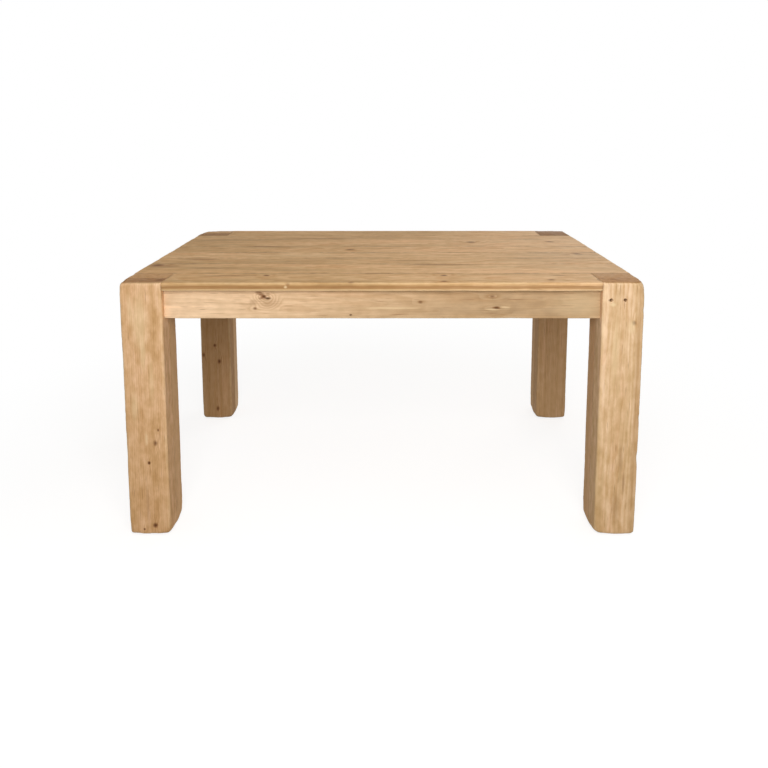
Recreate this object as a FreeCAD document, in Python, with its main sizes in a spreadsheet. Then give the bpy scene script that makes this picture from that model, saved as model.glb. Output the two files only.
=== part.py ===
# Parsons dining table of reclaimed pine, in millimetres.
# X runs along the table, the front faces -Y and Z is up.
# The origin is on the floor, under the middle of the top.
# Block legs, each glued up from an outer and an inner half, rise through the corners of a planked top.
# Aprons are tenoned into the legs. Battens in sliding dovetails keep the planks flat, bolted braces hold the
# corners, and wooden buttons hold the top down to the aprons.
import FreeCAD, Part
import Sketcher
import math
import os

sizes = {
    # the whole table
    "table_length": 1500,
    "table_depth": 900,
    "table_height": 770,
    # legs and the nylon glides they stand on
    "leg_width": 120,
    "leg_depth": 120,
    "leg_round": 6,
    "foot_chamfer": 5,
    "glide_width": 70,
    "glide_thickness": 3,
    # top planks. The six between the end planks are trimmed alike, so that they fill the depth
    "top_thickness": 25,
    "plank_round": 4,
    "plank_leg_gap": 0.5,
    "plank_2_width": 131,
    "plank_3_width": 92,
    "plank_4_width": 93,
    "plank_5_width": 120,
    "plank_6_width": 147,
    "plank_7_width": 77,
    # loose tongues between the planks
    "tongue_thickness": 6,
    "tongue_width": 20,
    "tongue_stop": 45,
    "tongue_play": 0.2,
    # aprons and their tenons
    "apron_height": 86,
    "apron_thickness": 34,
    "apron_setback": 20,
    "apron_round": 3,
    "tenon_thickness": 12,
    "tenon_length": 40,
    "tenon_shoulder": 12,
    "tenon_play": 0.2,
    "tenon_end_room": 1,
    # cross battens, held to the planks by a sliding dovetail
    "batten_width": 60,
    "batten_thickness": 25,
    "batten_inset": 300,
    "batten_end_room": 0.3,
    "batten_chamfer": 5,
    "dovetail_neck": 40,
    "dovetail_flare": 2.5,
    "dovetail_height": 6,
    "dovetail_play": 0.2,
    # corner braces, housed in the aprons, and the flats on the legs that they bear on
    "brace_thickness": 28,
    "brace_margin": 5.5,
    "brace_housing": 5,
    "brace_play": 0.2,
    "brace_flat": 12,
    "brace_flat_room": 2,
    # wooden buttons, with a tongue in a slot of the apron
    "button_width": 30,
    "button_length": 40,
    "button_lip": 12,
    "button_tongue_thickness": 10,
    "button_tongue_length": 11,
    "button_gap": 0.3,
    "button_slot_play": 1,
    # hexagon-headed wood screws of the buttons
    "screw_diameter": 4.5,
    "screw_head_width": 8,
    "screw_head_height": 3,
    "screw_bite": 14,
    "screw_play": 0.15,
    # lag bolts and washers
    "bolt_diameter": 8,
    "bolt_head_width": 13,
    "bolt_head_height": 5.5,
    "bolt_bite": 45,
    "bolt_play": 0.2,
    "washer_diameter": 22,
    "washer_thickness": 1.6,
}
plank_count = 8
batten_names = {"left": -1, "middle": 0, "right": 1}
corner_names = {
    "front_left": (-1, -1),
    "front_right": (1, -1),
    "back_left": (-1, 1),
    "back_right": (1, 1),
}
hexagon_sides = 6
plank_buttons = {"front": plank_count // 2 - 1, "back": plank_count - 2}

doc = FreeCAD.newDocument("parsons_dining_table")
sheet = doc.addObject("Spreadsheet::Sheet", "Sizes")
for row, (alias, value) in enumerate(sizes.items(), start=1):
    sheet.set(f"A{row}", alias)
    sheet.set(f"B{row}", str(value))
    sheet.setAlias(f"B{row}", alias)
doc.recompute()


def formula(text):
    """The text with each size written as a cell of the sheet."""
    words = sorted(sizes, key=len, reverse=True)
    for number, word in enumerate(words):
        text = text.replace(word, f"<{number}>")
    for number, word in enumerate(words):
        text = text.replace(f"<{number}>", f"Sizes.{word}")
    return text


def measure(text):
    return float(sheet.evalExpression(formula(text)))


# Sizes and heights that several pieces share
leg_length = "(table_height - glide_thickness)"
leg_half = "(leg_depth / 2)"
top_underside = "(table_height - top_thickness)"
apron_bottom = f"({top_underside} - apron_height)"
apron_middle = f"({apron_bottom} + apron_height / 2)"
apron_inner = "(apron_setback + apron_thickness)"
apron_centre = "(apron_setback + apron_thickness / 2)"
long_apron_length = "(table_length - 2 * leg_width)"
short_apron_length = "(table_depth - 2 * leg_depth)"
tenon_height = "(apron_height - 2 * tenon_shoulder)"
brace_height = "(apron_height - batten_thickness - 2 * brace_margin)"
brace_bottom = f"({apron_bottom} + brace_margin)"
brace_back = f"(leg_width + leg_depth - brace_flat - 2 * {apron_inner})"
brace_front = f"({brace_back} + brace_thickness * sqrt(2))"
bolt_from_x = f"(leg_width - {apron_inner} - brace_flat / 2 + brace_thickness / sqrt(2))"
bolt_from_y = f"(leg_depth - {apron_inner} - brace_flat / 2 + brace_thickness / sqrt(2))"
batten_spacing = "(table_length / 2 - batten_inset)"
batten_length = f"(table_depth - 2 * {apron_inner} - 2 * batten_end_room)"
button_thickness = "(button_lip + button_tongue_thickness)"
button_screw_out = "((button_length + button_gap) / 2)"
screw_bore = "(screw_diameter + 2 * screw_play)"
bolt_bore = "(bolt_diameter + 2 * bolt_play)"
groove_depth = "(tongue_width / 2 + tongue_play)"
end_plank_width = "(leg_depth + plank_leg_gap)"
end_plank_length = f"({long_apron_length} - 2 * plank_leg_gap)"
field_numbers = range(2, plank_count)
field_widths = " + ".join(f"plank_{number}_width" for number in field_numbers)


def plank_width(number):
    if number in (1, plank_count):
        return end_plank_width
    return f"(plank_{number}_width * (table_depth - 2 * {end_plank_width}) / ({field_widths}))"


def plank_length(number):
    return end_plank_length if number in (1, plank_count) else "table_length"


def plank_front(number):
    """Where a plank's front edge lies along Y."""
    widths = [plank_width(nearer) for nearer in range(1, number)]
    return "(" + " + ".join(["-table_depth / 2"] + widths) + ")"


def plank_middle(number):
    return f"({plank_front(number)} + {plank_width(number)} / 2)"


def bind(thing, **formulas):
    for name, text in formulas.items():
        thing.setExpression(name.replace("__", "."), formula(text))


def place(thing, x, y, z, angle=0, axis=(0, 0, 1)):
    thing.Placement = FreeCAD.Placement(FreeCAD.Vector(), FreeCAD.Rotation(FreeCAD.Vector(*axis), angle))
    bind(thing, Placement__Base__x=x, Placement__Base__y=y, Placement__Base__z=z)


def turn_to(direction):
    """The axis and angle that turn +Z to a direction."""
    turn = FreeCAD.Rotation(FreeCAD.Vector(0, 0, 1), FreeCAD.Vector(*direction))
    return {"axis": tuple(turn.Axis), "angle": math.degrees(turn.Angle)}


def new_body(label, x="0", y="0", z="0", angle=0):
    body = doc.addObject("PartDesign::Body", label)
    body.Label = label
    place(body, x, y, z, angle)
    return body


def origin_plane(body, role):
    return next(plane for plane in body.Origin.OriginFeatures if plane.Role == role)


def new_sketch(body, name, role, across="0", along="0", out="0"):
    """A sketch on one of the body's planes, moved by formulas in the plane and out from it."""
    sketch = body.newObject("Sketcher::SketchObject", f"{body.Name}_{name}")
    sketch.AttachmentSupport = (origin_plane(body, role), [""])
    sketch.MapMode = "FlatFace"
    bind(
        sketch,
        AttachmentOffset__Base__x=across,
        AttachmentOffset__Base__y=along,
        AttachmentOffset__Base__z=out,
    )
    return sketch


def dimension(sketch, kind, text, *geometry):
    """A named distance in a sketch, bound to a formula."""
    number = sketch.addConstraint(Sketcher.Constraint(kind, *geometry, measure(text)))
    sketch.renameConstraint(number, f"size_{number}")
    sketch.setExpression(f"Constraints.size_{number}", formula(text))


def close_outline(sketch, corners):
    """Lines through the corners, each end joined to the next start."""
    points = [FreeCAD.Vector(x, y, 0) for x, y in corners]
    count = len(points)
    for number in range(count):
        sketch.addGeometry(Part.LineSegment(points[number], points[(number + 1) % count]))
    for number in range(count):
        sketch.addConstraint(Sketcher.Constraint("Coincident", number, 2, (number + 1) % count, 1))


def rectangle(body, name, role, width, height, **offsets):
    """A rectangle centred on its sketch's own origin."""
    sketch = new_sketch(body, name, role, **offsets)
    half_width, half_height = measure(width) / 2, measure(height) / 2
    close_outline(
        sketch,
        [
            (-half_width, -half_height),
            (half_width, -half_height),
            (half_width, half_height),
            (-half_width, half_height),
        ],
    )
    for line, kind in enumerate(("Horizontal", "Vertical", "Horizontal", "Vertical")):
        sketch.addConstraint(Sketcher.Constraint(kind, line))
    sketch.addConstraint(Sketcher.Constraint("Symmetric", 0, 1, 1, 2, -1, 1))
    dimension(sketch, "DistanceX", width, 0, 1, 0, 2)
    dimension(sketch, "DistanceY", height, 1, 1, 1, 2)
    return sketch


def place_point(sketch, geometry, position, x, y):
    """Ties a point of the sketch to two formulas, or to an axis where one is nought."""
    for text, kind, axis in ((x, "DistanceX", -2), (y, "DistanceY", -1)):
        if text == "0":
            sketch.addConstraint(Sketcher.Constraint("PointOnObject", geometry, position, axis))
        else:
            dimension(sketch, kind, text, -1, 1, geometry, position)


def polygon(body, name, role, corners, **offsets):
    sketch = new_sketch(body, name, role, **offsets)
    close_outline(sketch, [(measure(x), measure(y)) for x, y in corners])
    for number, (x, y) in enumerate(corners):
        place_point(sketch, number, 1, x, y)
    return sketch


def circles(body, name, role, diameter, centres, **offsets):
    sketch = new_sketch(body, name, role, **offsets)
    for x, y in centres:
        centre = FreeCAD.Vector(measure(x), measure(y), 0)
        ring = Part.Circle(centre, FreeCAD.Vector(0, 0, 1), measure(diameter) / 2)
        number = sketch.addGeometry(ring)
        place_point(sketch, number, 3, x, y)
        dimension(sketch, "Diameter", diameter, number)
    return sketch


def pad(body, name, sketch, length):
    feature = body.newObject("PartDesign::Pad", f"{body.Name}_{name}")
    feature.Profile = sketch
    bind(feature, Length=length)
    return feature


def pocket(body, name, sketch, depth, turned=False):
    """A pocket that has to take wood away. Turned, it cuts along the sketch's normal."""
    doc.recompute()
    before = body.Shape.Volume
    feature = body.newObject("PartDesign::Pocket", f"{body.Name}_{name}")
    feature.Profile = sketch
    feature.Reversed = turned
    bind(feature, Length=depth)
    doc.recompute()
    if body.Shape.Volume >= before:
        raise ValueError(f"{body.Label}: {name} cuts nothing")
    return feature


def mirror(body, name, features, role):
    feature = body.newObject("PartDesign::Mirrored", f"{body.Name}_{name}")
    feature.Originals = features
    feature.MirrorPlane = (origin_plane(body, role), [""])
    body.Tip = feature
    doc.recompute()
    return feature


def repeat(body, name, feature, axis, length, count):
    """Copies of a feature along one of the body's axes, from the first place to the last."""
    row = body.newObject("PartDesign::LinearPattern", f"{body.Name}_{name}")
    row.Originals = [feature]
    row.Direction = (origin_plane(body, axis), [""])
    row.Occurrences = count
    bind(row, Length=length)
    body.Tip = row
    doc.recompute()
    return row


def lies(spans, axis, at):
    """Whether an edge lies all along a plane square to an axis."""
    return all(abs(end - at) < 0.001 for end in spans[axis])


def ease(body, name, kind, size, wanted):
    """Rounds or chamfers the edges that are wanted, going by what they span in the body's own frame."""
    doc.recompute()
    base = body.Tip
    names = []
    for number, edge in enumerate(base.Shape.Edges, start=1):
        box = edge.BoundBox
        spans = {"x": (box.XMin, box.XMax), "y": (box.YMin, box.YMax), "z": (box.ZMin, box.ZMax)}
        if wanted(spans):
            names.append(f"Edge{number}")
    feature = body.newObject(f"PartDesign::{kind}", f"{body.Name}_{name}")
    feature.Base = (base, names)
    bind(feature, **{"Radius" if kind == "Fillet" else "Size": size})
    doc.recompute()
    return feature


def make_leg_half(corner, layer):
    """One timber of a leg. The outer half takes the long apron's tenon, the inner half the end apron's."""
    side_x, side_y = corner_names[corner]
    outer = layer == "outer"
    in_from_face = "leg_depth / 4" if outer else "3 * leg_depth / 4"
    body = new_body(
        f"leg_{corner}_{layer}_half",
        f"{side_x} * (table_length - leg_width) / 2",
        f"{side_y} * (table_depth / 2 - {in_from_face})",
        "glide_thickness",
    )
    block = rectangle(body, "plan", "XY_Plane", "leg_width", leg_half)
    pad(body, "timber", block, leg_length)
    mortise_width = "tenon_thickness + 2 * tenon_play"
    mortise_height = f"{tenon_height} + 2 * tenon_play"
    mortise_depth = "tenon_length + tenon_end_room"
    mortise_level = f"{apron_middle} - glide_thickness"
    if outer:
        mortise = rectangle(
            body,
            "mortise_mouth",
            "YZ_Plane",
            mortise_width,
            mortise_height,
            across=f"{side_y} * ({leg_half} / 2 - {apron_centre})",
            along=mortise_level,
            out=f"{-side_x} * leg_width / 2",
        )
        pocket(body, "mortise", mortise, mortise_depth, turned=side_x > 0)
    else:
        mortise = rectangle(
            body,
            "mortise_mouth",
            "XZ_Plane",
            mortise_width,
            mortise_height,
            across=f"{side_x} * (leg_width / 2 - {apron_centre})",
            along=mortise_level,
            out=f"{side_y} * {leg_half} / 2",
        )
        pocket(body, "mortise", mortise, mortise_depth, turned=side_y < 0)
        cut_brace_flat(body, side_x, side_y)
    half_width, half_depth = measure("leg_width") / 2, measure(leg_half) / 2
    height = measure(leg_length)
    face = side_y * half_depth if outer else -side_y * half_depth

    def rounded(spans):
        upright = lies(spans, "y", face) and any(lies(spans, "x", end) for end in (-half_width, half_width))
        outside = lies(spans, "x", side_x * half_width) or (outer and lies(spans, "y", face))
        return upright or (outside and lies(spans, "z", height))

    def foot(spans):
        return lies(spans, "z", 0) and not lies(spans, "y", -face)

    ease(body, "worn_edges", "Fillet", "leg_round", rounded)
    ease(body, "foot", "Chamfer", "foot_chamfer", foot)
    return body


def cut_brace_flat(body, side_x, side_y):
    """The flat on a leg's inner corner that its brace bears on, with the bolt's pilot hole."""
    corner_x = f"{-side_x} * leg_width / 2"
    corner_y = f"{-side_y} * {leg_half} / 2"
    triangle = polygon(
        body,
        "flat_plan",
        "XY_Plane",
        [
            (corner_x, corner_y),
            (f"{corner_x} + {side_x} * brace_flat", corner_y),
            (corner_x, f"{corner_y} + {side_y} * brace_flat"),
        ],
        out=f"{brace_bottom} + {brace_height} + brace_flat_room - glide_thickness",
    )
    pocket(body, "flat", triangle, f"{brace_height} + 2 * brace_flat_room")
    pilot = body.newObject("PartDesign::SubtractiveCylinder", f"{body.Name}_bolt_pilot")
    bind(pilot, Radius=f"{bolt_bore} / 2", Height="bolt_bite + bolt_play")
    place(
        pilot,
        f"{corner_x} + {side_x} * brace_flat / 2",
        f"{corner_y} + {side_y} * brace_flat / 2",
        f"{brace_bottom} + {brace_height} / 2 - glide_thickness",
        **turn_to((side_x, side_y, 0)),
    )


def make_glide(corner):
    side_x, side_y = corner_names[corner]
    glide = doc.addObject("Part::Box", f"floor_glide_{corner}")
    glide.Label = f"floor_glide_{corner}"
    bind(glide, Length="glide_width", Width="glide_width", Height="glide_thickness")
    place(
        glide,
        f"{side_x} * (table_length - leg_width) / 2 - glide_width / 2",
        f"{side_y} * (table_depth - leg_depth) / 2 - glide_width / 2",
        "0",
    )
    return glide


def seam_length(number):
    """How far a tongue's groove runs between two planks: the shorter plank, less a stop at each end."""
    short = number == 1 or number == plank_count - 1
    return f"({end_plank_length if short else 'table_length'} - 2 * tongue_stop)"


def make_plank(number):
    width, length = plank_width(number), plank_length(number)
    body = new_body(f"top_plank_{number}", "0", plank_middle(number), top_underside)
    pad(body, "board", rectangle(body, "plan", "XY_Plane", length, width), "top_thickness")
    for seam, side in ((number - 1, -1), (number, 1)):
        if seam in (0, plank_count):
            continue
        mouth = rectangle(
            body,
            f"groove_{seam}_mouth",
            "XZ_Plane",
            f"{seam_length(seam)} + 2 * tongue_play",
            "tongue_thickness + 2 * tongue_play",
            along="top_thickness / 2",
            out=f"{-side} * {width} / 2",
        )
        pocket(body, f"groove_{seam}", mouth, groove_depth, turned=side > 0)
    cut_dovetails(body, number)
    spots = [(x, f"{y} - {plank_middle(number)}") for x, y in button_screw_spots(number)]
    if spots:
        pilots = circles(body, "screw_spots", "XY_Plane", screw_bore, spots)
        pocket(body, "screw_pilots", pilots, "screw_bite + screw_play", turned=True)
    half_length, half_width = measure(length) / 2, measure(width) / 2
    thickness = measure("top_thickness")
    edge = {1: -half_width, plank_count: half_width}.get(number)

    def worn(spans):
        end = any(lies(spans, "x", at) for at in (-half_length, half_length))
        outside = end if edge is None else lies(spans, "y", edge)
        return outside and any(lies(spans, "z", level) for level in (0, thickness))

    ease(body, "worn_edges", "Fillet", "plank_round", worn)
    return body


def cut_dovetails(body, number):
    """Grooves under a plank for the battens. In the two edge planks they stop where the battens end."""
    through = number not in (1, plank_count)
    reach = plank_width(number) if through else f"({end_plank_width} - {apron_inner})"
    side = 1 if number == 1 else -1
    neck = "(dovetail_neck / 2 + dovetail_play)"
    crown = f"({neck} + dovetail_flare)"
    groove = polygon(
        body,
        "dovetail_section",
        "XZ_Plane",
        [
            (f"-{neck}", "0"),
            (neck, "0"),
            (crown, "dovetail_height + dovetail_play"),
            (f"-{crown}", "dovetail_height + dovetail_play"),
        ],
        across=f"-{batten_spacing}",
        out=f"{-side} * {plank_width(number)} / 2",
    )
    dovetail = pocket(body, "dovetail", groove, reach, turned=side > 0)
    repeat(body, "dovetails", dovetail, "X_Axis", f"2 * {batten_spacing}", len(batten_names))


def make_tongue(number):
    """The loose tongue between a plank and the next one back."""
    tongue = doc.addObject("Part::Box", f"plank_tongue_{number}")
    tongue.Label = f"plank_tongue_{number}"
    length = seam_length(number)
    bind(tongue, Length=length, Width="tongue_width", Height="tongue_thickness")
    place(
        tongue,
        f"-{length} / 2",
        f"{plank_front(number + 1)} - tongue_width / 2",
        "table_height - (top_thickness + tongue_thickness) / 2",
    )
    return tongue


# Each side's turn about Z from the front, and the way into the table from it
side_turns = {"front": 0, "back": 180, "left": -90, "right": 90}
inward_steps = {"front": (0, 1), "back": (0, -1), "left": (1, 0), "right": (-1, 0)}

# Each apron's place and length, and where its buttons lie along it
between_battens = [f"-{batten_spacing} / 2", f"{batten_spacing} / 2"]
apron_layout = {
    "front": ("0", f"-table_depth / 2 + {apron_centre}", long_apron_length, between_battens),
    "back": ("0", f"table_depth / 2 - {apron_centre}", long_apron_length, between_battens),
    "left": (
        f"-table_length / 2 + {apron_centre}",
        "0",
        short_apron_length,
        [f"-{plank_middle(number)}" for number in plank_buttons.values()],
    ),
    "right": (
        f"table_length / 2 - {apron_centre}",
        "0",
        short_apron_length,
        [plank_middle(number) for number in plank_buttons.values()],
    ),
}


def make_apron(side):
    """An apron with its inner face towards its own +Y, and a tenon on each end."""
    x, y, length, buttons = apron_layout[side]
    body = new_body(f"apron_{side}", x, y, apron_bottom, side_turns[side])
    pad(body, "board", rectangle(body, "plan", "XY_Plane", length, "apron_thickness"), "apron_height")
    section = rectangle(
        body,
        "tenon_section",
        "YZ_Plane",
        "tenon_thickness",
        tenon_height,
        along="apron_height / 2",
        out=f"{length} / 2",
    )
    tenon = pad(body, "tenon", section, "tenon_length")
    doc.recompute()
    mirror(body, "tenons", [tenon], "YZ_Plane")
    inner_face = {"out": "-apron_thickness / 2"}
    for number, along in enumerate(buttons, start=1):
        slot = rectangle(
            body,
            f"slot_{number}_mouth",
            "XZ_Plane",
            "button_width + 2 * button_slot_play",
            "button_tongue_thickness + button_slot_play",
            across=along,
            along="apron_height - button_lip - (button_tongue_thickness + button_slot_play) / 2",
            **inner_face,
        )
        pocket(body, f"slot_{number}", slot, "button_tongue_length + button_slot_play", turned=True)
    reach = f"({length} / 2 + leg_{'width' if side in ('front', 'back') else 'depth'})"
    brace_at = f"({reach} - {apron_inner} - ({brace_back} + {brace_front}) / 2)"
    for end in (-1, 1):
        housing = rectangle(
            body,
            f"housing_{'left' if end < 0 else 'right'}_mouth",
            "XZ_Plane",
            f"{brace_front} - {brace_back} + 2 * brace_play",
            f"{brace_height} + 2 * brace_play",
            across=f"{end} * {brace_at}",
            along=f"brace_margin + {brace_height} / 2",
            **inner_face,
        )
        depth = "brace_housing + brace_play"
        pocket(body, f"housing_{'left' if end < 0 else 'right'}", housing, depth, turned=True)
    half = measure("apron_thickness") / 2

    def lower(spans):
        return lies(spans, "z", 0) and any(lies(spans, "y", face) for face in (-half, half))

    ease(body, "worn_edges", "Fillet", "apron_round", lower)
    return body


def make_batten(name):
    """A batten across the planks, with chamfered lower edges and a dovetail along its top."""
    across = f"{batten_names[name]} * {batten_spacing}"
    body = new_body(f"cross_batten_{name}", across, "0", top_underside)
    half, neck = "batten_width / 2", "dovetail_neck / 2"
    right_side = [
        (f"{half} - batten_chamfer", "-batten_thickness"),
        (half, "-batten_thickness + batten_chamfer"),
        (half, "0"),
        (neck, "0"),
        (f"{neck} + dovetail_flare", "dovetail_height"),
    ]
    left_side = [(f"-({x})", z) for x, z in reversed(right_side)]
    section = polygon(body, "section", "XZ_Plane", right_side + left_side, out=f"-{batten_length} / 2")
    pad(body, "board", section, batten_length)
    return body


# Each corner's turn about Z from the front left one, whose braces and aprons run along +X and +Y
corner_turns = {"front_left": 0, "front_right": 90, "back_right": 180, "back_left": 270}


def make_brace(corner):
    """A diagonal block whose ends are housed in the two aprons and whose back bears on the leg's flat."""
    side_x, side_y = corner_names[corner]
    body = new_body(
        f"corner_brace_{corner}",
        f"{side_x} * (table_length / 2 - {apron_inner})",
        f"{side_y} * (table_depth / 2 - {apron_inner})",
        brace_bottom,
        corner_turns[corner],
    )
    front_end = [
        (brace_back, "0"),
        (brace_back, "-brace_housing"),
        (brace_front, "-brace_housing"),
        (brace_front, "0"),
    ]
    side_end = [(y, x) for x, y in reversed(front_end)]
    pad(body, "block", polygon(body, "plan", "XY_Plane", front_end + side_end), brace_height)
    bore = body.newObject("PartDesign::SubtractiveCylinder", f"{body.Name}_bolt_hole")
    bind(bore, Radius=f"{bolt_bore} / 2", Height="2 * brace_thickness")
    across, along = bolt_from_x, bolt_from_y
    if side_x != side_y:
        across, along = along, across
    place(bore, across, along, f"{brace_height} / 2", **turn_to((-1, -1, 0)))
    return body


# Each button's side, its place against the apron's inner face, and the plank it is screwed to
button_layout = {
    "front_left": ("front", between_battens[0], f"-table_depth / 2 + {apron_inner}", 1),
    "front_right": ("front", between_battens[1], f"-table_depth / 2 + {apron_inner}", 1),
    "back_left": ("back", between_battens[0], f"table_depth / 2 - {apron_inner}", plank_count),
    "back_right": ("back", between_battens[1], f"table_depth / 2 - {apron_inner}", plank_count),
}
for end, sign in {"left": -1, "right": 1}.items():
    for half, number in plank_buttons.items():
        across = f"{sign} * (table_length / 2 - {apron_inner})"
        button_layout[f"{end}_{half}"] = (end, across, plank_middle(number), number)


def button_screw_spot(name):
    """Where a button's screw enters its plank, along X and Y."""
    side, x, y, plank = button_layout[name]
    step_x, step_y = inward_steps[side]
    return f"({x} + {step_x} * {button_screw_out})", f"({y} + {step_y} * {button_screw_out})"


def button_screw_spots(plank):
    return [button_screw_spot(name) for name, layout in button_layout.items() if layout[3] == plank]


def make_button(name):
    """A block under the top with a lip cut away, so that its tongue reaches into the apron's slot."""
    side, x, y, plank = button_layout[name]
    body = new_body(f"top_button_{name}", x, y, top_underside, side_turns[side])
    outline = [
        ("-button_tongue_length", "-button_lip"),
        ("button_gap", "-button_lip"),
        ("button_gap", "0"),
        ("button_length", "0"),
        ("button_length", f"-{button_thickness}"),
        ("-button_tongue_length", f"-{button_thickness}"),
    ]
    pad(body, "block", polygon(body, "profile", "YZ_Plane", outline, out="-button_width / 2"), "button_width")
    spot = [("0", button_screw_out)]
    hole = circles(body, "screw_spot", "XY_Plane", screw_bore, spot, out=f"-{button_thickness}")
    pocket(body, "screw_hole", hole, button_thickness, turned=True)
    return body


def make_hexagon_screw(label, diameter, head_width, head_height, seat, length):
    """A hexagon-headed screw along +Z, with its head under the seat's level and its end at the length."""
    body = new_body(label)
    head = body.newObject("PartDesign::AdditivePrism", f"{label}_head")
    head.Polygon = hexagon_sides
    bind(head, Circumradius=f"{head_width} / sqrt(3)", Height=head_height)
    place(head, "0", "0", f"{seat} - {head_height}")
    shank = body.newObject("PartDesign::AdditiveCylinder", f"{label}_shank")
    bind(shank, Radius=f"{diameter} / 2", Height=f"{length} - ({seat})")
    place(shank, "0", "0", seat)
    return body


def make_washer():
    body = new_body("washer")
    disc = body.newObject("PartDesign::AdditiveCylinder", "washer_disc")
    bind(disc, Radius="washer_diameter / 2", Height="washer_thickness")
    place(disc, "0", "0", "-washer_thickness")
    hole = body.newObject("PartDesign::SubtractiveCylinder", "washer_hole")
    bind(hole, Radius=f"{bolt_bore} / 2", Height="washer_thickness")
    place(hole, "0", "0", "-washer_thickness")
    return body


def make_group(label, pattern, places):
    """Copies of one fastener, each with its place and the direction that it points in."""
    copies = []
    for number, (x, y, z, direction) in enumerate(places, start=1):
        copy = doc.addObject("App::Link", f"{label}_{number}")
        copy.LinkedObject = pattern
        place(copy, x, y, z, **turn_to(direction))
        copies.append(copy)
    group = doc.addObject("Part::Compound", label)
    group.Label = label
    group.Links = copies
    return group


def button_screw_places():
    z = f"{top_underside} - {button_thickness}"
    return [(*button_screw_spot(name), z, (0, 0, 1)) for name in button_layout]


def bolt_places():
    return [
        (
            f"{side_x} * (table_length / 2 - {apron_inner} - {bolt_from_x})",
            f"{side_y} * (table_depth / 2 - {apron_inner} - {bolt_from_y})",
            f"{brace_bottom} + {brace_height} / 2",
            (side_x, side_y, 0),
        )
        for side_x, side_y in corner_names.values()
    ]


plank_numbers = range(1, plank_count + 1)
pieces = [make_leg_half(corner, layer) for corner in corner_names for layer in ("outer", "inner")]
pieces += [make_glide(corner) for corner in corner_names]
pieces += [make_plank(number) for number in plank_numbers]
pieces += [make_tongue(number) for number in range(1, plank_count)]
pieces += [make_apron(side) for side in apron_layout]
pieces += [make_batten(name) for name in batten_names]
pieces += [make_brace(corner) for corner in corner_names]
pieces += [make_button(name) for name in button_layout]

button_screw = make_hexagon_screw(
    "button_screw",
    "screw_diameter",
    "screw_head_width",
    "screw_head_height",
    "0",
    f"({button_thickness} + screw_bite)",
)
lag_bolt = make_hexagon_screw(
    "lag_bolt",
    "bolt_diameter",
    "bolt_head_width",
    "bolt_head_height",
    "-washer_thickness",
    "(brace_thickness + bolt_bite)",
)
washer = make_washer()
pieces.append(make_group("button_screws", button_screw, button_screw_places()))
pieces.append(make_group("lag_bolts", lag_bolt, bolt_places()))
pieces.append(make_group("lag_bolt_washers", washer, bolt_places()))
doc.recompute()

for thing in doc.Objects:
    if "Invalid" in thing.State or "Error" in thing.State:
        raise ValueError(f"{thing.Label} failed: {thing.State}")
for piece in pieces:
    if piece.Shape.isNull() or not piece.Shape.isValid() or not piece.Shape.Solids:
        raise ValueError(f"{piece.Label} has no valid solid")

os.makedirs("parts", exist_ok=True)
for piece in pieces:
    piece.Shape.exportStep(f"parts/{piece.Label}.step")
print(f"{len(pieces)} nodes written")
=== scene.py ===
import math
import bmesh
import bpy
from itertools import combinations
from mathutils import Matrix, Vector, noise


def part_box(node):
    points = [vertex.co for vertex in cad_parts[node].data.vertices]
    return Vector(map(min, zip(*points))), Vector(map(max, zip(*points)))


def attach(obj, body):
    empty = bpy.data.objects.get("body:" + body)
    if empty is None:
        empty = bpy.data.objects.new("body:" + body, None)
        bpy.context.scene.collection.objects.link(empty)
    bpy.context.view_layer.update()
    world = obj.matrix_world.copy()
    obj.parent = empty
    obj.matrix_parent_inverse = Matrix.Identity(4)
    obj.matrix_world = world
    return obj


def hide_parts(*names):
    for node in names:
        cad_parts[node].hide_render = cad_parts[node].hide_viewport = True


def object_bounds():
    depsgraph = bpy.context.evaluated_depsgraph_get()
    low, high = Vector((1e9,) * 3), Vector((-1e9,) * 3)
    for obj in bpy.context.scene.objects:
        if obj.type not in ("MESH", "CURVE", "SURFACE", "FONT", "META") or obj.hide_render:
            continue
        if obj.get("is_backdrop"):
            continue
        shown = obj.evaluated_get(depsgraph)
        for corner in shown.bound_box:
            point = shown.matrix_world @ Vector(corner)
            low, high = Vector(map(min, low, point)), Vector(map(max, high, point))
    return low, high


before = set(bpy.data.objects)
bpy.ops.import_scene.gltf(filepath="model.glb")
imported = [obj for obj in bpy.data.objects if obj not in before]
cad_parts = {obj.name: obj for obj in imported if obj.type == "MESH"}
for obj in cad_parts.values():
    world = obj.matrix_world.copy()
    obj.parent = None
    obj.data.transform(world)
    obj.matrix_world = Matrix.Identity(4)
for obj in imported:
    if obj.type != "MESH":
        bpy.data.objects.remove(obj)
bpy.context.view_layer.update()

scene = bpy.context.scene
scene.view_settings.view_transform = "Standard"
mm = 0.001
noiseSpan = (0.3, 0.7)  # where most values of a noise texture lie


def linear(hexColour):
    # sRGB hex to the linear colour that sockets take
    parts = [int(hexColour[i:i + 2], 16) / 255 for i in (1, 3, 5)]
    return [c / 12.92 if c <= 0.04045 else ((c + 0.055) / 1.055) ** 2.4 for c in parts] + [1.0]


def addNode(tree, kind, settings={}, inputs=()):
    # inputs go in the sockets' order, or by name or number. They are values, sockets, or nodes, of which the
    # output in use is linked. Map Range takes a value, its span and the new span, and a colour Mix takes its
    # share in 0 and its colours in 6 and 7.
    node = tree.nodes.new(f"ShaderNode{kind}")
    for key, value in settings.items():
        setattr(node, key, value)
    for key, value in inputs.items() if isinstance(inputs, dict) else enumerate(inputs):
        if isinstance(value, bpy.types.Node):
            value = next(output for output in value.outputs if output.enabled)
        if isinstance(value, bpy.types.NodeSocket):
            tree.links.new(value, node.inputs[key])
        else:
            node.inputs[key].default_value = value
    return node


def bareMaterial(name):
    material = bpy.data.materials.new(name)
    material.use_nodes = True
    material.node_tree.nodes.clear()
    return material, material.node_tree


def paint(part, material):
    part.data.materials.clear()
    part.data.materials.append(material)


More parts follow.
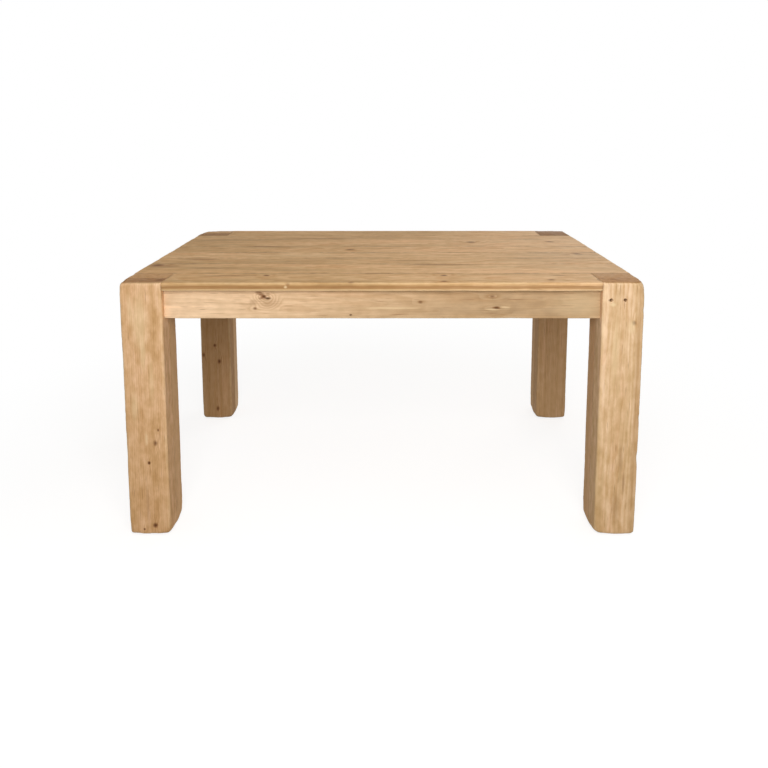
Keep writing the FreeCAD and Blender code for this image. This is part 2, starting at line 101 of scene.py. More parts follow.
# Old pine, planed and waxed: pale early wood, orange late wood in wavy bands, brown knots, worn pale arrises
pineLook = {
    "axes": "xyz",  # grain, across the face, through the board
    "pith": (0, 0),  # the heart of the tree, in mm across and through
    "tilt": (0.0, 0.02),  # how the heart drifts along the board, which makes the arches
    "ringMm": 5.5,  # coarser than real pine's 3 mm, so that it shows at this size
    "ringRise": (0.2, 0.9),  # in each ring, late wood comes slowly
    "ringFall": (1.0, 0.92),  # and ends at once
    "ringClear": (0.35, 1.0),  # how clear the rings are, from patch to patch
    "clearer": 0.8,  # and how much more so round knots and on end grain
    "waveMm": 7,
    "rippleMm": 1.6,
    "pale": "#E8C090",
    "late": "#C58F59",
    "contrast": 0.5,
    "heart": "#CB9762",
    "heartSpan": (0.45, 0.72),
    "heartShare": 0.3,
    "fibre": (0.93, 1.05),  # brightness over each kind of noise, from its dips to its peaks
    "stripe": (0.93, 1.06),
    "cloud": (0.95, 1.05),
    "patch": (0.93, 1.06),
    "toneAndPaintedLight": (1.0, 1.0),  # brightness at the two ends, or over toneSpan: the board's own tone, and on the front legs and the top planks also painted light and shade
    "warmSpan": (0.7, 1.2),  # dark wood has more colour than pale wood
    "warmth": (1.13, 0.87),
    "fleckSpan": (0.66, 0.76),
    "fleckShare": 0.55,
    "endSpan": (0.6, 0.9),
    "endTone": "#CDBFB2",  # end grain drinks the wax and goes darker
    "worn": "#F2D6A8",
    "grime": "#5F4126",
    "knots": [],  # right through: along, across, half length, half width in mm, darkness, swirl in mm
    "knotRagged": 1.1,
    "knotRims": {"knot": (1.75, 1.0), "knotCore": (1.25, 0.65)},
    "swirlSpread": (5, 2.5),  # how many knot sizes the swirl reaches, along and across
    "spots": [],  # on one face: along, across, through, their half sizes in mm, strength, tint
    "spotRagged": 0.8,
    "spotRim": (1.5, 0.6),
    "knot": "#7E4E2A",
    "knotCore": "#4A2C14",
    "stain": "#8F6238",
    "reliefMm": 0.35,  # hard late wood stands proud
    "fibreRelief": 0.6,
    "bumpStrength": 0.5,
    "roughness": (0.62, 0.78),
    "ior": 1.46,
    "specular": 0.2,
    "noise": {},  # what differs from pineNoise
    "seed": 0,
}
# Noise stretched along the board: length and width of a blotch in mm, and detail.
# Fibres and flecks are wider than real ones, so that they show.
pineNoise = {
    "wave": (240, 60, 2), "ripple": (45, 16, 1), "patch": (420, 50, 2), "stripe": (900, 13, 1),
    "fibre": (170, 3.2, 2), "fleck": (60, 2.6, 1), "cloud": (34, 17, 3),
}
seedStepMm = (917, 331, 0)  # boards with other seeds come from other places in the noise


def pineMaterial(name, look, ends):
    look = {**pineLook, **look}
    ends = look.get("toneSpan", ends)
    material, tree = bareMaterial(name)
    coords = addNode(tree, "TexCoord").outputs
    inMm = addNode(tree, "VectorMath", {"operation": "SCALE"}, {0: coords["Object"], "Scale": 1 / mm})
    parts = addNode(tree, "SeparateXYZ", {}, [inMm]).outputs
    order = ["xyz".index(axis) for axis in look["axes"]]
    along = parts[order[0]]
    board = addNode(tree, "CombineXYZ", {}, [parts[axis] for axis in order])
    apart = addNode(tree, "VectorMath", {}, [board, [look["seed"] * step for step in seedStepMm]])
    grain = {}
    for word, (long, wide, detail) in {**pineNoise, **look["noise"]}.items():
        blotch = (1 / long, 1 / wide, 1 / wide)
        scaled = addNode(tree, "VectorMath", {"operation": "MULTIPLY"}, [apart, blotch])
        grain[word] = addNode(tree, "TexNoise", {}, {"Vector": scaled, "Scale": 1.0, "Detail": detail})

    # distance from the heart of the tree, bent round the knots and cut into growth rings
    drift = addNode(tree, "VectorMath", {"operation": "SCALE"}, {0: (0, *look["tilt"]), "Scale": along})
    section = addNode(tree, "VectorMath", {"operation": "MULTIPLY"}, [board, (0, 1, 1)])
    offHeart = addNode(tree, "VectorMath", {"operation": "SUBTRACT"}, [section, (0, *look["pith"])])
    offHeart = addNode(tree, "VectorMath", {"operation": "SUBTRACT"}, [offHeart, drift])
    radius = addNode(tree, "VectorMath", {"operation": "LENGTH"}, [offHeart])
    for word in ("wave", "ripple"):
        swing = 2 * look[f"{word}Mm"]  # noise runs from 0 to 1, so this is from side to side
        radius = addNode(tree, "Math", {"operation": "MULTIPLY_ADD"}, [grain[word], swing, radius])
    knotRings, swirls = [], []
    for u, v, long, wide, dark, swirlMm in look["knots"]:
        offset = addNode(tree, "VectorMath", {"operation": "SUBTRACT"}, [board, (u, v, 0)])
        spreadLong, spreadWide = look["swirlSpread"]
        away = []
        for halfLong, halfWide in ((long, wide), (long * spreadLong, wide * spreadWide)):
            scaled = addNode(tree, "VectorMath", {"operation": "MULTIPLY"},
                             [offset, (1 / halfLong, 1 / halfWide, 0)])
            away.append(addNode(tree, "VectorMath", {"operation": "LENGTH"}, [scaled]))
        ragged = addNode(tree, "Math", {"operation": "MULTIPLY_ADD"},
                         [grain["cloud"], look["knotRagged"], away[0]])
        knotRings.append((ragged, dark))
        swirl = addNode(tree, "MapRange", {"interpolation_type": "SMOOTHSTEP"}, [away[1], 1.0, 0.0])
        swirls.append(swirl)
        radius = addNode(tree, "Math", {"operation": "MULTIPLY_ADD"}, [swirl, swirlMm, radius])
    rings = addNode(tree, "Math", {"operation": "DIVIDE"}, [radius, look["ringMm"]])
    rings = addNode(tree, "Math", {"operation": "FRACT"}, [rings])
    rise = addNode(tree, "MapRange", {"interpolation_type": "SMOOTHSTEP"}, [rings, *look["ringRise"]])
    fall = addNode(tree, "MapRange", {}, [rings, *look["ringFall"]])
    late = addNode(tree, "Math", {"operation": "MULTIPLY"}, [rise, fall])
    facing = addNode(tree, "SeparateXYZ", {}, [coords["Normal"]]).outputs[order[0]]
    facing = addNode(tree, "Math", {"operation": "ABSOLUTE"}, [facing])
    endGrain = addNode(tree, "MapRange", {}, [facing, *look["endSpan"]])
    strength = addNode(tree, "MapRange", {}, [grain["patch"], *noiseSpan, *look["ringClear"]])
    for share in (*swirls, endGrain):
        strength = addNode(tree, "Math", {"operation": "MULTIPLY_ADD"}, [share, look["clearer"], strength])
    late = addNode(tree, "Math", {"operation": "MULTIPLY"}, [late, strength])
    lateShare = addNode(tree, "Math", {"operation": "MULTIPLY"}, [late, look["contrast"]])

    # colour: rings, then redder heartwood, brightness, flecks, knots, spots, end grain, grime and wear
    colour = addNode(tree, "Mix", {"data_type": "RGBA"},
                     {0: lateShare, 6: linear(look["pale"]), 7: linear(look["late"])})
    hearty = addNode(tree, "MapRange", {"interpolation_type": "SMOOTHSTEP"},
                     [grain["patch"], *look["heartSpan"], 0.0, look["heartShare"]])
    colour = addNode(tree, "Mix", {"data_type": "RGBA"}, {0: hearty, 6: colour, 7: linear(look["heart"])})
    lightness = addNode(tree, "MapRange", {}, [along, *ends, *look["toneAndPaintedLight"]])
    for word in ("fibre", "stripe", "cloud", "patch"):
        level = addNode(tree, "MapRange", {}, [grain[word], *noiseSpan, *look[word]])
        lightness = addNode(tree, "Math", {"operation": "MULTIPLY"}, [lightness, level])
    warmth = addNode(tree, "MapRange", {}, [lightness, *look["warmSpan"], *look["warmth"]])
    colour = addNode(tree, "HueSaturation", {}, {"Value": lightness, "Saturation": warmth, "Color": colour})
    flecks = addNode(tree, "MapRange", {}, [grain["fleck"], *look["fleckSpan"], 0.0, look["fleckShare"]])
    colour = addNode(tree, "Mix", {"data_type": "RGBA"}, {0: flecks, 6: colour, 7: linear(look["knot"])})
    for away, dark in knotRings:
        for tint, rim in look["knotRims"].items():
            share = addNode(tree, "MapRange", {"interpolation_type": "SMOOTHSTEP"}, [away, *rim, 0.0, dark])
            colour = addNode(tree, "Mix", {"data_type": "RGBA"}, {0: share, 6: colour, 7: linear(look[tint])})
    for u, v, w, long, wide, deep, dark, tint in look["spots"]:
        offset = addNode(tree, "VectorMath", {"operation": "SUBTRACT"}, [board, (u, v, w)])
        offset = addNode(tree, "VectorMath", {"operation": "MULTIPLY"},
                         [offset, (1 / long, 1 / wide, 1 / deep)])
        away = addNode(tree, "VectorMath", {"operation": "LENGTH"}, [offset])
        ragged = addNode(tree, "Math", {"operation": "MULTIPLY_ADD"},
                         [grain["fleck"], look["spotRagged"], away])
        share = addNode(tree, "MapRange", {"interpolation_type": "SMOOTHSTEP"},
                        [ragged, *look["spotRim"], 0.0, dark])
        colour = addNode(tree, "Mix", {"data_type": "RGBA"}, {0: share, 6: colour, 7: linear(look[tint])})
    colour = addNode(tree, "Mix", {"data_type": "RGBA", "blend_type": "MULTIPLY"},
                     {0: endGrain, 6: colour, 7: linear(look["endTone"])})
    for word in ("grime", "worn"):
        share = addNode(tree, "Attribute", {"attribute_name": word}).outputs["Fac"]
        colour = addNode(tree, "Mix", {"data_type": "RGBA"}, {0: share, 6: colour, 7: linear(look[word])})

    relief = addNode(tree, "Math", {"operation": "MULTIPLY_ADD"}, [grain["fibre"], look["fibreRelief"], late])
    bump = addNode(tree, "Bump", {},
                   {"Strength": look["bumpStrength"], "Distance": look["reliefMm"] * mm, "Height": relief})
    rough = addNode(tree, "MapRange", {}, [grain["patch"], *noiseSpan, *look["roughness"]])
    shader = addNode(tree, "BsdfPrincipled", {},
                     {"Base Color": colour, "Roughness": rough, "IOR": look["ior"],
                      "Specular IOR Level": look["specular"], "Normal": bump})
    addNode(tree, "OutputMaterial", {}, [shader])
    return material


# Timber: a sawn board with eased and worn arrises, all in mm
timberShape = {
    "joined": [],  # sides against a neighbour
    "gap": 0.2,  # left free at those sides
    "tight": [],  # pairs of sides whose shared arris meets a neighbour
    "trim": {},  # cut off at a side
    "round": 3,  # radius of a free arris
    "wear": 3,  # how much wear adds to it
    "reach": 8,  # how far from an arris wear and dirt show
    "dirt": 0.5,  # how dark the seams are
    "seam": 0.7,  # width of the bevel at a seam
    "blunt": [],  # rounder places: x, y, z, width, extra radius
    "pits": [],  # nail holes in a front face: x, y, z, half width, depth
    "cell": 5,  # size of the mesh cells
}
timberMesh = {
    "arrisSteps": 4,
    "seamSteps": 2,
    "mergeMm": 0.01,
    "onSideM": 1e-6,  # a vertex as near as this lies on a side
    "straight": 0.999,  # share of an edge's length along one axis, from which it runs that way
    "cutAbove": 1.6,  # edges longer than this many cells are cut
    "pitReach": 2.2,  # cells are finer up to this many half widths from a pit
    "pitCuts": 4,
}
timberWear = {
    "patchMm": 38,
    "patchLongMm": 110,
    "fineMm": 14,
    "bite": (0.35, 0.8, 0.45),  # depth of the wear: everywhere, by patch and by fine noise
    "pale": (0.55, 0.7, 0.4),  # the same for its colour
    "paleMost": 0.7,
    "palePower": 2,  # a higher power keeps closer to the arris
    "grimeMost": 0.8,
    "grimePower": 4,
    "waveMm": 0.2,
    "pitPower": 4,
}
sides = {"-x": (0, 0), "+x": (0, 1), "-y": (1, 0), "+y": (1, 1), "-z": (2, 0), "+z": (2, 1)}  # axis, end


def wearTimber(bm, corners, shape, grainAxis):
    # arrises rounded unevenly, faces that wave a little, pale arrises, dirt where boards meet
    worn = bm.verts.layers.float.new("worn")
    grime = bm.verts.layers.float.new("grime")
    stretch = Vector([1 / timberWear["patchMm"]] * 3)
    stretch[grainAxis] = 1 / timberWear["patchLongMm"]
    joined = set(shape["joined"])
    tight = [set(pair) for pair in shape["tight"]]
    reach = shape["reach"]

    def covered(group):
        # true if a neighbour is against the arris or corner of these sides
        return bool(set(group) & joined) or any(set(pair) in tight for pair in combinations(group, 2))

    for vert in bm.verts:
        point = vert.co / mm
        rough = noise.noise(point * stretch)
        fine = noise.noise(point / timberWear["fineMm"])
        bite, pale = [max(0.0, base + byPatch * rough + byFine * fine)
                      for base, byPatch, byFine in (timberWear["bite"], timberWear["pale"])]
        radius = shape["round"] + shape["wear"] * bite
        for x, y, z, wide, extra in shape["blunt"]:
            radius += extra * math.exp(-(point - Vector((x, y, z))).length_squared / wide ** 2)
        gaps = {side: abs(vert.co[axis] - corners[end][axis]) / mm for side, (axis, end) in sides.items()}
        near = {side: gap for side, gap in gaps.items() if gap < max(radius, reach)}
        for side in near:
            if side not in joined:
                near[side] += max(0.0, 1 - near[side] / reach) * timberWear["waveMm"] * (1 + rough)
        edgeWear = dirt = 0.0
        for first, second in combinations(near, 2):
            closeness = max(0.0, 1 - gaps[first] / reach) * max(0.0, 1 - gaps[second] / reach)
            if covered((first, second)):
                dirt = max(dirt, closeness ** timberWear["grimePower"] * bite * shape["dirt"])
            else:
                edgeWear = max(edgeWear, closeness ** timberWear["palePower"] * min(1.0, pale))
        for group in [*combinations(near, 3), *combinations(near, 2)]:  # corners, then arrises
            depths = [radius - near[side] for side in group]
            if not covered(group) and min(depths) > 0 and math.hypot(*depths) > radius:
                for side, depth in zip(group, depths):
                    near[side] = radius - depth * radius / math.hypot(*depths)
        for side, gap in near.items():
            axis, end = sides[side]
            vert.co[axis] = corners[end][axis] + (1 - 2 * end) * gap * mm
        for x, y, z, wide, deep in shape["pits"]:
            hit = math.exp(-((point - Vector((x, y, z))).length / wide) ** timberWear["pitPower"])
            vert.co.y += hit * deep * mm
        vert[worn] = timberWear["paleMost"] * edgeWear
        vert[grime] = min(timberWear["grimeMost"], dirt)


def makeTimber(name, node, shape, look):
    shape = {**timberShape, **shape}
    low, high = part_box(node)
    corners = [low.copy(), high.copy()]
    for side, cut in [*shape["trim"].items(), *((side, shape["gap"]) for side in shape["joined"])]:
        axis, end = sides[side]
        corners[end][axis] += (1 - 2 * end) * cut * mm
    bm = bmesh.new()
    bmesh.ops.create_cube(bm, size=1)
    bmesh.ops.scale(bm, vec=corners[1] - corners[0], verts=bm.verts)
    bmesh.ops.translate(bm, vec=(corners[0] + corners[1]) / 2, verts=bm.verts)

    def on(verts):
        return {side for side, (axis, end) in sides.items()
                if all(abs(vert.co[axis] - corners[end][axis]) < timberMesh["onSideM"] for vert in verts)}

    # free arrises get a round, the others a small bevel
    tight = [set(pair) for pair in shape["tight"]]
    free = [edge for edge in bm.edges
            if not on(edge.verts) & set(shape["joined"]) and on(edge.verts) not in tight]
    bmesh.ops.bevel(bm, geom=free, offset=shape["round"] * mm, affect="EDGES",
                    segments=timberMesh["arrisSteps"], profile=0.5, material=-1)
    meeting = [edge for edge in bm.edges if len(on(edge.verts)) == 2]
    bmesh.ops.bevel(bm, geom=meeting, offset=shape["seam"] * mm, affect="EDGES",
                    segments=timberMesh["seamSteps"], profile=0.5, material=-1)
    bmesh.ops.remove_doubles(bm, verts=bm.verts, dist=timberMesh["mergeMm"] * mm)

    # faces are cut into cells along each axis, finer ones round the pits
    cell = shape["cell"] * mm
    for axis in range(3):
        runs = []
        for edge in bm.edges:
            reach = abs((edge.verts[1].co - edge.verts[0].co)[axis])
            size = edge.calc_length()
            if size > timberMesh["cutAbove"] * cell and reach > timberMesh["straight"] * size:
                runs.append(edge)
        longest = max(edge.calc_length() for edge in runs)
        bmesh.ops.subdivide_edges(bm, edges=runs, cuts=round(longest / cell) - 1, use_grid_fill=True)
    for x, y, z, wide, deep in shape["pits"]:
        place = Vector((x, y, z)) * mm
        around = {edge for face in bm.faces
                  if (face.calc_center_median() - place).length < timberMesh["pitReach"] * wide * mm
                  for edge in face.edges}
        bmesh.ops.subdivide_edges(bm, edges=list(around), cuts=timberMesh["pitCuts"], use_grid_fill=True)
    grainAxis = "xyz".index(look["axes"][0])
    wearTimber(bm, corners, shape, grainAxis)
    bmesh.ops.remove_doubles(bm, verts=bm.verts, dist=timberMesh["mergeMm"] * mm)
    for face in bm.faces:
        face.smooth = True
    mesh = bpy.data.meshes.new(name)
    bm.to_mesh(mesh)
    bm.free()
    piece = bpy.data.objects.new(name, mesh)
    scene.collection.objects.link(piece)
    ends = [corner[grainAxis] / mm for corner in corners]
    mesh.materials.append(pineMaterial(f"waxed old pine {name}", look, ends))
    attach(piece, "root")
    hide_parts(node)


# Legs: each of two pine timbers glued face to face
legs = {
    "FrontLeft": {
        "node": "front_left",
        "joinedTo": ("+x", "+y"),
        "blunt": [(-750, -450, 770, 22, 7)],
        "outer": {
            "pith": (-880, -380), "tilt": (0.02, 0.02), "seed": 1, "pale": "#E5B98A", "late": "#C49261",
            # tone runs from the foot to the top of the leg: darker towards the floor, painted shade of light
            # falling off downwards, over the board's own tone
            "toneAndPaintedLight": (0.91, 1.045), "endTone": "#C9BCA8", "cloud": (0.84, 1.12), "patch": (0.86, 1.1),
            "stripe": (0.95, 1.045), "contrast": 0.42,
            "knots": [
                (290, -663.5, 11, 8, 0.55, 8), (228.4, -685.5, 6, 5, 0.85, 5), (329.4, -654.7, 5, 3, 0.6, 3),
                (32.3, -673.8, 9, 8, 0.8, 6), (20.6, -707.5, 5, 4, 0.7, 2),
            ],
            "spots": [
                (655, -696, -450, 110, 28, 12, 0.45, "worn"), (560, -690, -450, 60, 12, 12, 0.4, "worn"),
                (690, -722, -450, 60, 9, 12, 0.3, "worn"), (480, -668, -450, 80, 9, 12, 0.3, "worn"),
                (400, -720, -450, 60, 14, 12, 0.35, "worn"), (302, -690, -450, 26, 5, 12, 0.5, "worn"),
                (100, -694, -450, 80, 6, 12, 0.35, "stain"), (770, -642, -415, 14, 20, 22, 0.6, "stain"),
                (770, -690, -424, 9, 30, 1.4, 0.8, "knotCore"),
            ],
        },
        "inner": {"pith": (-640, -560), "tilt": (0.01, 0.03), "seed": 2, "pale": "#DCB180", "late": "#B98652",
                  "endTone": "#F4EFE6"},
    },
    "FrontRight": {
        "node": "front_right",
        "joinedTo": ("-x", "+y"),
        "blunt": [(750, -450, 765, 28, 13), (750, -450, 690, 12, 4), (750, -450, 365, 9, 5),
                  (750, -450, 245, 14, 6)],
        "pits": [(654.7, -450, 718.8, 4, 7), (694.3, -450, 718.8, 4, 7)],
        "outer": {
            "pith": (640, -540), "tilt": (-0.03, 0.04), "seed": 3, "pale": "#EAC69B", "late": "#C6945F",
            # tone runs from the foot to the top of the leg: darker towards the floor, painted shade of light
            # falling off downwards, over the board's own tone
            "ringMm": 9, "waveMm": 16, "contrast": 0.4, "toneAndPaintedLight": (0.92, 1.05), "warmth": (1.18, 0.87),
            "endTone": "#D2BC9E", "stripe": (0.91, 1.07), "cloud": (0.87, 1.1), "patch": (0.86, 1.12),
            "knots": [(651.5, 722, 9, 7, 0.5, 8)],
            "spots": [
                (718.8, 653, -450, 5, 8, 30, 1.0, "knotCore"),
                (718.8, 694.3, -450, 6, 6, 30, 1.0, "knotCore"),
                (706, 660, -450, 8, 10, 9, 0.8, "worn"), (165, 711, -450, 45, 5, 12, 0.5, "stain"),
                (640, 716, -450, 26, 14, 12, 0.5, "worn"), (240, 700, -450, 60, 8, 12, 0.35, "stain"),
                (560, 672, -450, 120, 12, 12, 0.4, "worn"), (90, 690, -450, 60, 16, 12, 0.3, "stain"),
                (385, 738, -450, 600, 14, 30, 0.2, "stain"), (770, 668, -412, 9, 26, 1.4, 0.8, "knotCore"),
            ],
        },
        "inner": {"pith": (720, -560), "tilt": (0.02, -0.02), "seed": 4, "pale": "#DCB284", "late": "#B98755",
                  "endTone": "#F4EFE6"},
    },
    "BackLeft": {
        "node": "back_left",
        "joinedTo": ("+x", "-y"),
        "blunt": [(-750, 450, 770, 45, 22)],
        "outer": {"pith": (-600, 560), "tilt": (0.02, -0.04), "seed": 5, "endTone": "#F0EBE2"},
        "inner": {
            # Darker pale and late wood than the other leg halves: painted shade under the table top, over
            # this board's own darker wood.
            "pith": (-860, 300), "tilt": (-0.02, 0.03), "seed": 6, "pale": "#B88F62", "late": "#966A3E",
            "endTone": "#F0EBE2",
            "knots": [(315, -692.9, 10, 8, 0.85, 9), (247.7, -676.5, 12, 10, 0.8, 10),
                      (274, -739.8, 12, 7, 0.55, 6), (45.6, -688.8, 12, 8, 0.55, 7)],
        },
    },
    "BackRight": {
        "node": "back_right",
        "joinedTo": ("-x", "-y"),
        "blunt": [(750, 450, 770, 30, 6)],
        "outer": {"pith": (860, 560), "tilt": (0.03, 0.03), "seed": 7, "endTone": "#BBAA96"},
        "inner": {"pith": (580, 290), "tilt": (0.03, -0.02), "seed": 8, "pale": "#D3AA7B", "late": "#AE7E4E",
                  "endTone": "#C9BBA9"},
    },
}
legShape = {"round": 5, "wear": 5, "reach": 10, "dirt": 0.4}
footWear = {"wide": 34, "inner": 10, "outer": 5}  # corners rounded by years on the floor
closeMm = -0.4  # an inner half reaches across the fitting gap to the plank behind it
opposite = {"+y": "-y", "-y": "+y"}
for legName, leg in legs.items():
    sideX, sideY = leg["joinedTo"]
    outerLow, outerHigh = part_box(f"leg_{leg['node']}_outer_half")
    innerLow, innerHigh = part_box(f"leg_{leg['node']}_inner_half")
    faces = ("outer", "inner") if sideX == "+x" else ("inner", "outer")  # at low and at high x
    feet = [(x / mm, y / mm, outerLow.z / mm, footWear["wide"], footWear[face])
            for x, face in zip((outerLow.x, outerHigh.x), faces)
            for y in (min(outerLow.y, innerLow.y), max(outerHigh.y, innerHigh.y))]
    halves = {
        "outer": {"joined": [sideY], "tight": [("+z", sideX)], "pits": leg.get("pits", [])},
        "inner": {"joined": [opposite[sideY]], "tight": [("+z", sideX), ("+z", sideY)],
                  "trim": {sideY: closeMm}},
    }
    for half, joints in halves.items():
        makeTimber(f"leg{legName}{half.capitalize()}", f"leg_{leg['node']}_{half}_half",
                   {**legShape, **joints, "blunt": leg["blunt"] + feet}, {"axes": "zxy", **leg[half]})
print("legs made")

# Top planks, from the front to the back. Their ends give the mm cut off at the left and right.
# Each plank is darker at its left end and lighter at its right: painted light from the right, over each
# plank's own tone.
planks = [
    {
        "pith": (-390, 560), "tilt": (0.01, 0.03), "seed": 11, "wear": 4, "toneAndPaintedLight": (0.87, 1.03),
        "blunt": [(-281, -450, 770, 9, 6)],
        "knots": [(184.5, -358, 14, 10, 0.65, 8), (178, -431, 13, 9, 0.6, 7), (-345, -359, 12, 9, 0.7, 6),
                  (490, -415, 14, 9, 0.5, 4)],
        "spots": [
            (-465, -364, 770, 120, 10, 9, 0.5, "stain"), (523, -358, 770, 36, 10, 9, 0.55, "stain"),
            # Along the front edge: a brown band mid-edge, partly the edge's own darker wood and partly
            # painted shade; a pale line on the lower arris, partly wear and partly a painted highlight.
            (-88.7, -444, 770, 12, 9, 9, 0.7, "knot"), (0, -450, 756.5, 2500, 6, 8, 0.62, "stain"),
            (0, -450, 747, 2500, 6, 5, 0.42, "worn"), (-268, -450, 766, 8, 7, 7, 0.6, "knot"),
            (-275, -450, 757, 6, 5, 5, 0.7, "worn"),
        ],
    },
    {
        "pith": (-250, 900), "tilt": (0.01, -0.02), "seed": 12, "toneAndPaintedLight": (0.87, 1.1), "ends": (0, 0.5),
        "knots": [(-716, -218, 24, 20, 0.5, 12)],
        "spots": [(190, -211, 770, 170, 13, 9, 0.6, "stain"), (-560, -262, 770, 90, 14, 9, 0.4, "stain"),
                  (-690, -235, 770, 60, 30, 9, 0.4, "stain")],
    },
    {
        "pith": (-160, 620), "tilt": (-0.02, 0.02), "seed": 13, "toneAndPaintedLight": (0.89, 1.07), "ends": (1.5, 1),
        "spots": [(-602, -132, 770, 90, 13, 9, 0.65, "stain"), (90, -150, 770, 120, 14, 9, 0.35, "stain")],
    },
    {
        "pith": (-30, 640), "tilt": (0.02, 0.02), "seed": 14, "toneAndPaintedLight": (0.96, 1.14), "ends": (0.5, 0),
        "knots": [(670, -35.5, 22, 18, 0.44, 10)],
        "spots": [(-300, -60, 770, 200, 16, 9, 0.3, "worn")],
    },
    {
        "pith": (70, 920), "tilt": (-0.01, 0.03), "seed": 15, "toneAndPaintedLight": (0.85, 1.14), "ends": (2.5, 1),
        "knots": [(-120, 40, 18, 16, 0.42, 9)],
        "spots": [(-400, 92, 770, 160, 16, 9, 0.5, "stain")],
    },
    {
        "pith": (140, 590), "tilt": (0.02, 0.03), "seed": 16, "toneAndPaintedLight": (0.86, 1.19), "ends": (1, 0.5),
        "knots": [(330, 188.8, 20, 18, 0.58, 11), (632, 196, 20, 18, 0.44, 10)],
    },
    {
        "pith": (310, 620), "tilt": (0.0, 0.02), "seed": 17, "toneAndPaintedLight": (0.92, 1.1), "ends": (3, 1.5),
        "spots": [(-250, 262, 770, 180, 18, 9, 0.5, "stain")],
    },
    {"pith": (420, 940), "tilt": (0.01, -0.03), "seed": 18, "toneAndPaintedLight": (0.9, 1.1)},
]
plankShape = {"round": 3, "wear": 3, "reach": 8, "seam": 1.1, "gap": 0.25, "dirt": 1.5}
plankLook = {"axes": "xyz", "patch": (0.76, 1.2), "cloud": (0.9, 1.09), "stripe": (0.95, 1.045),
             "contrast": 0.55, "warmth": (1.13, 0.96),
             "noise": {"patch": (600, 95, 2), "stripe": (900, 24, 1)}}
# the first and the last plank fit between legs
joinedSides = [["-x", "+x", "+y"], *[["-y", "+y"]] * (len(planks) - 2), ["-x", "+x", "-y"]]
for number, (plank, joined) in enumerate(zip(planks, joinedSides), start=1):
    shape = {**plankShape, "joined": joined, "trim": dict(zip(("-x", "+x"), plank.get("ends", ())))}
    shape.update({key: plank[key] for key in ("wear", "blunt") if key in plank})
    makeTimber(f"topPlank{number}", f"top_plank_{number}", shape, {**plankLook, **plank})
print("planks made")

# Aprons, without the tenons that the legs hide
aprons = {
    "front": {
        "axes": "xzy", "pith": (690, -300), "tilt": (0.01, 0.02), "seed": 21,
        "pale": "#E4BF94", "late": "#C9A072", "contrast": 0.6, "cloud": (0.92, 1.07),
        "toneAndPaintedLight": (1.23, 0.7), "toneSpan": (-567, 190), "warmth": (1.03, 0.89),
        "knots": [
            (-341, 725, 9, 7, 0.85, 10), (-333, 709, 11, 15, 0.0, 22), (-367, 689, 6, 4.5, 0.45, 3),
            (110, 708.3, 7, 5, 0.36, 4), (317, 724.5, 10, 6, 0.4, 6), (330, 690.5, 12, 5, 0.7, 7),
        ],
        "spots": [
            (-91, 669.9, -430, 5, 4, 9, 0.9, "knotCore"), (-356, 735.5, -430, 12, 7, 9, 0.65, "knot"),
            (-348, 730, -430, 10, 7, 9, 0.75, "knot"), (-330, 719, -430, 12, 5.5, 9, 0.95, "knotCore"),
            (-350, 719, -430, 8, 5, 9, 0.6, "knot"), (-329, 731, -430, 8, 6, 9, 0.4, "knot"),
            (-322, 704, -430, 36, 18, 9, 0.3, "stain"), (-372, 706, -430, 16, 12, 9, 0.35, "stain"),
            (318, 686, -430, 26, 4, 9, 0.45, "worn"), (356, 693, -430, 22, 4, 9, 0.45, "worn"),
            (30, 690, -430, 130, 4, 9, 0.45, "worn"), (585, 700, -430, 110, 60, 9, 0.25, "worn"),
        ],
    },
    "back": {"axes": "xzy", "pith": (720, 520), "tilt": (0.01, -0.02), "seed": 22},
    "left": {"axes": "yzx", "pith": (690, -600), "tilt": (0.02, 0.02), "seed": 23},
    "right": {"axes": "yzx", "pith": (720, 590), "tilt": (-0.02, 0.02), "seed": 24},
}
apronShape = {"round": 2.5, "wear": 3, "reach": 7, "dirt": 0.1}
tenonMm = 40
for apron, look in aprons.items():
    ends = ("-x", "+x") if apron in ("front", "back") else ("-y", "+y")
    shape = {**apronShape, "joined": [*ends, "+z"], "trim": dict.fromkeys(ends, tenonMm)}
    makeTimber(f"apron{apron.capitalize()}", f"apron_{apron}", shape, look)
print("aprons made")

# Hidden frame of sawn pine, paler and plainer than the waxed boards: CAD shapes kept, seeded by their places
sawnLook = {"pale": "#E3C596", "late": "#C79A63", "contrast": 0.6, "ringMm": 5, "heartShare": 0.25}
battenLook = {**sawnLook, "axes": "yxz", "pithHeight": 690, "seed": 31}
braceLook = {**sawnLook, "axes": "xyz", "pithHeight": 640, "tilt": (1.0, 0), "seed": 41}
for where in ("left", "middle", "right"):
    low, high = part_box(f"cross_batten_{where}")
    look = {**battenLook, "pith": ((low.x + high.x) / 2 / mm, battenLook["pithHeight"]),
            "seed": battenLook["seed"] + low.x}
    paint(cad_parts[f"cross_batten_{where}"],
          pineMaterial(f"sawn pine batten {where}", look, (low.y / mm, high.y / mm)))
for node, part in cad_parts.items():
    if node.startswith("corner_brace"):
        low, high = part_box(node)
        look = {**braceLook, "pith": (low.y / mm, braceLook["pithHeight"]),
                "seed": braceLook["seed"] + low.x + low.y}
        paint(part, pineMaterial(f"sawn pine {node}", look, (low.x / mm, high.x / mm)))
print("frame finished")

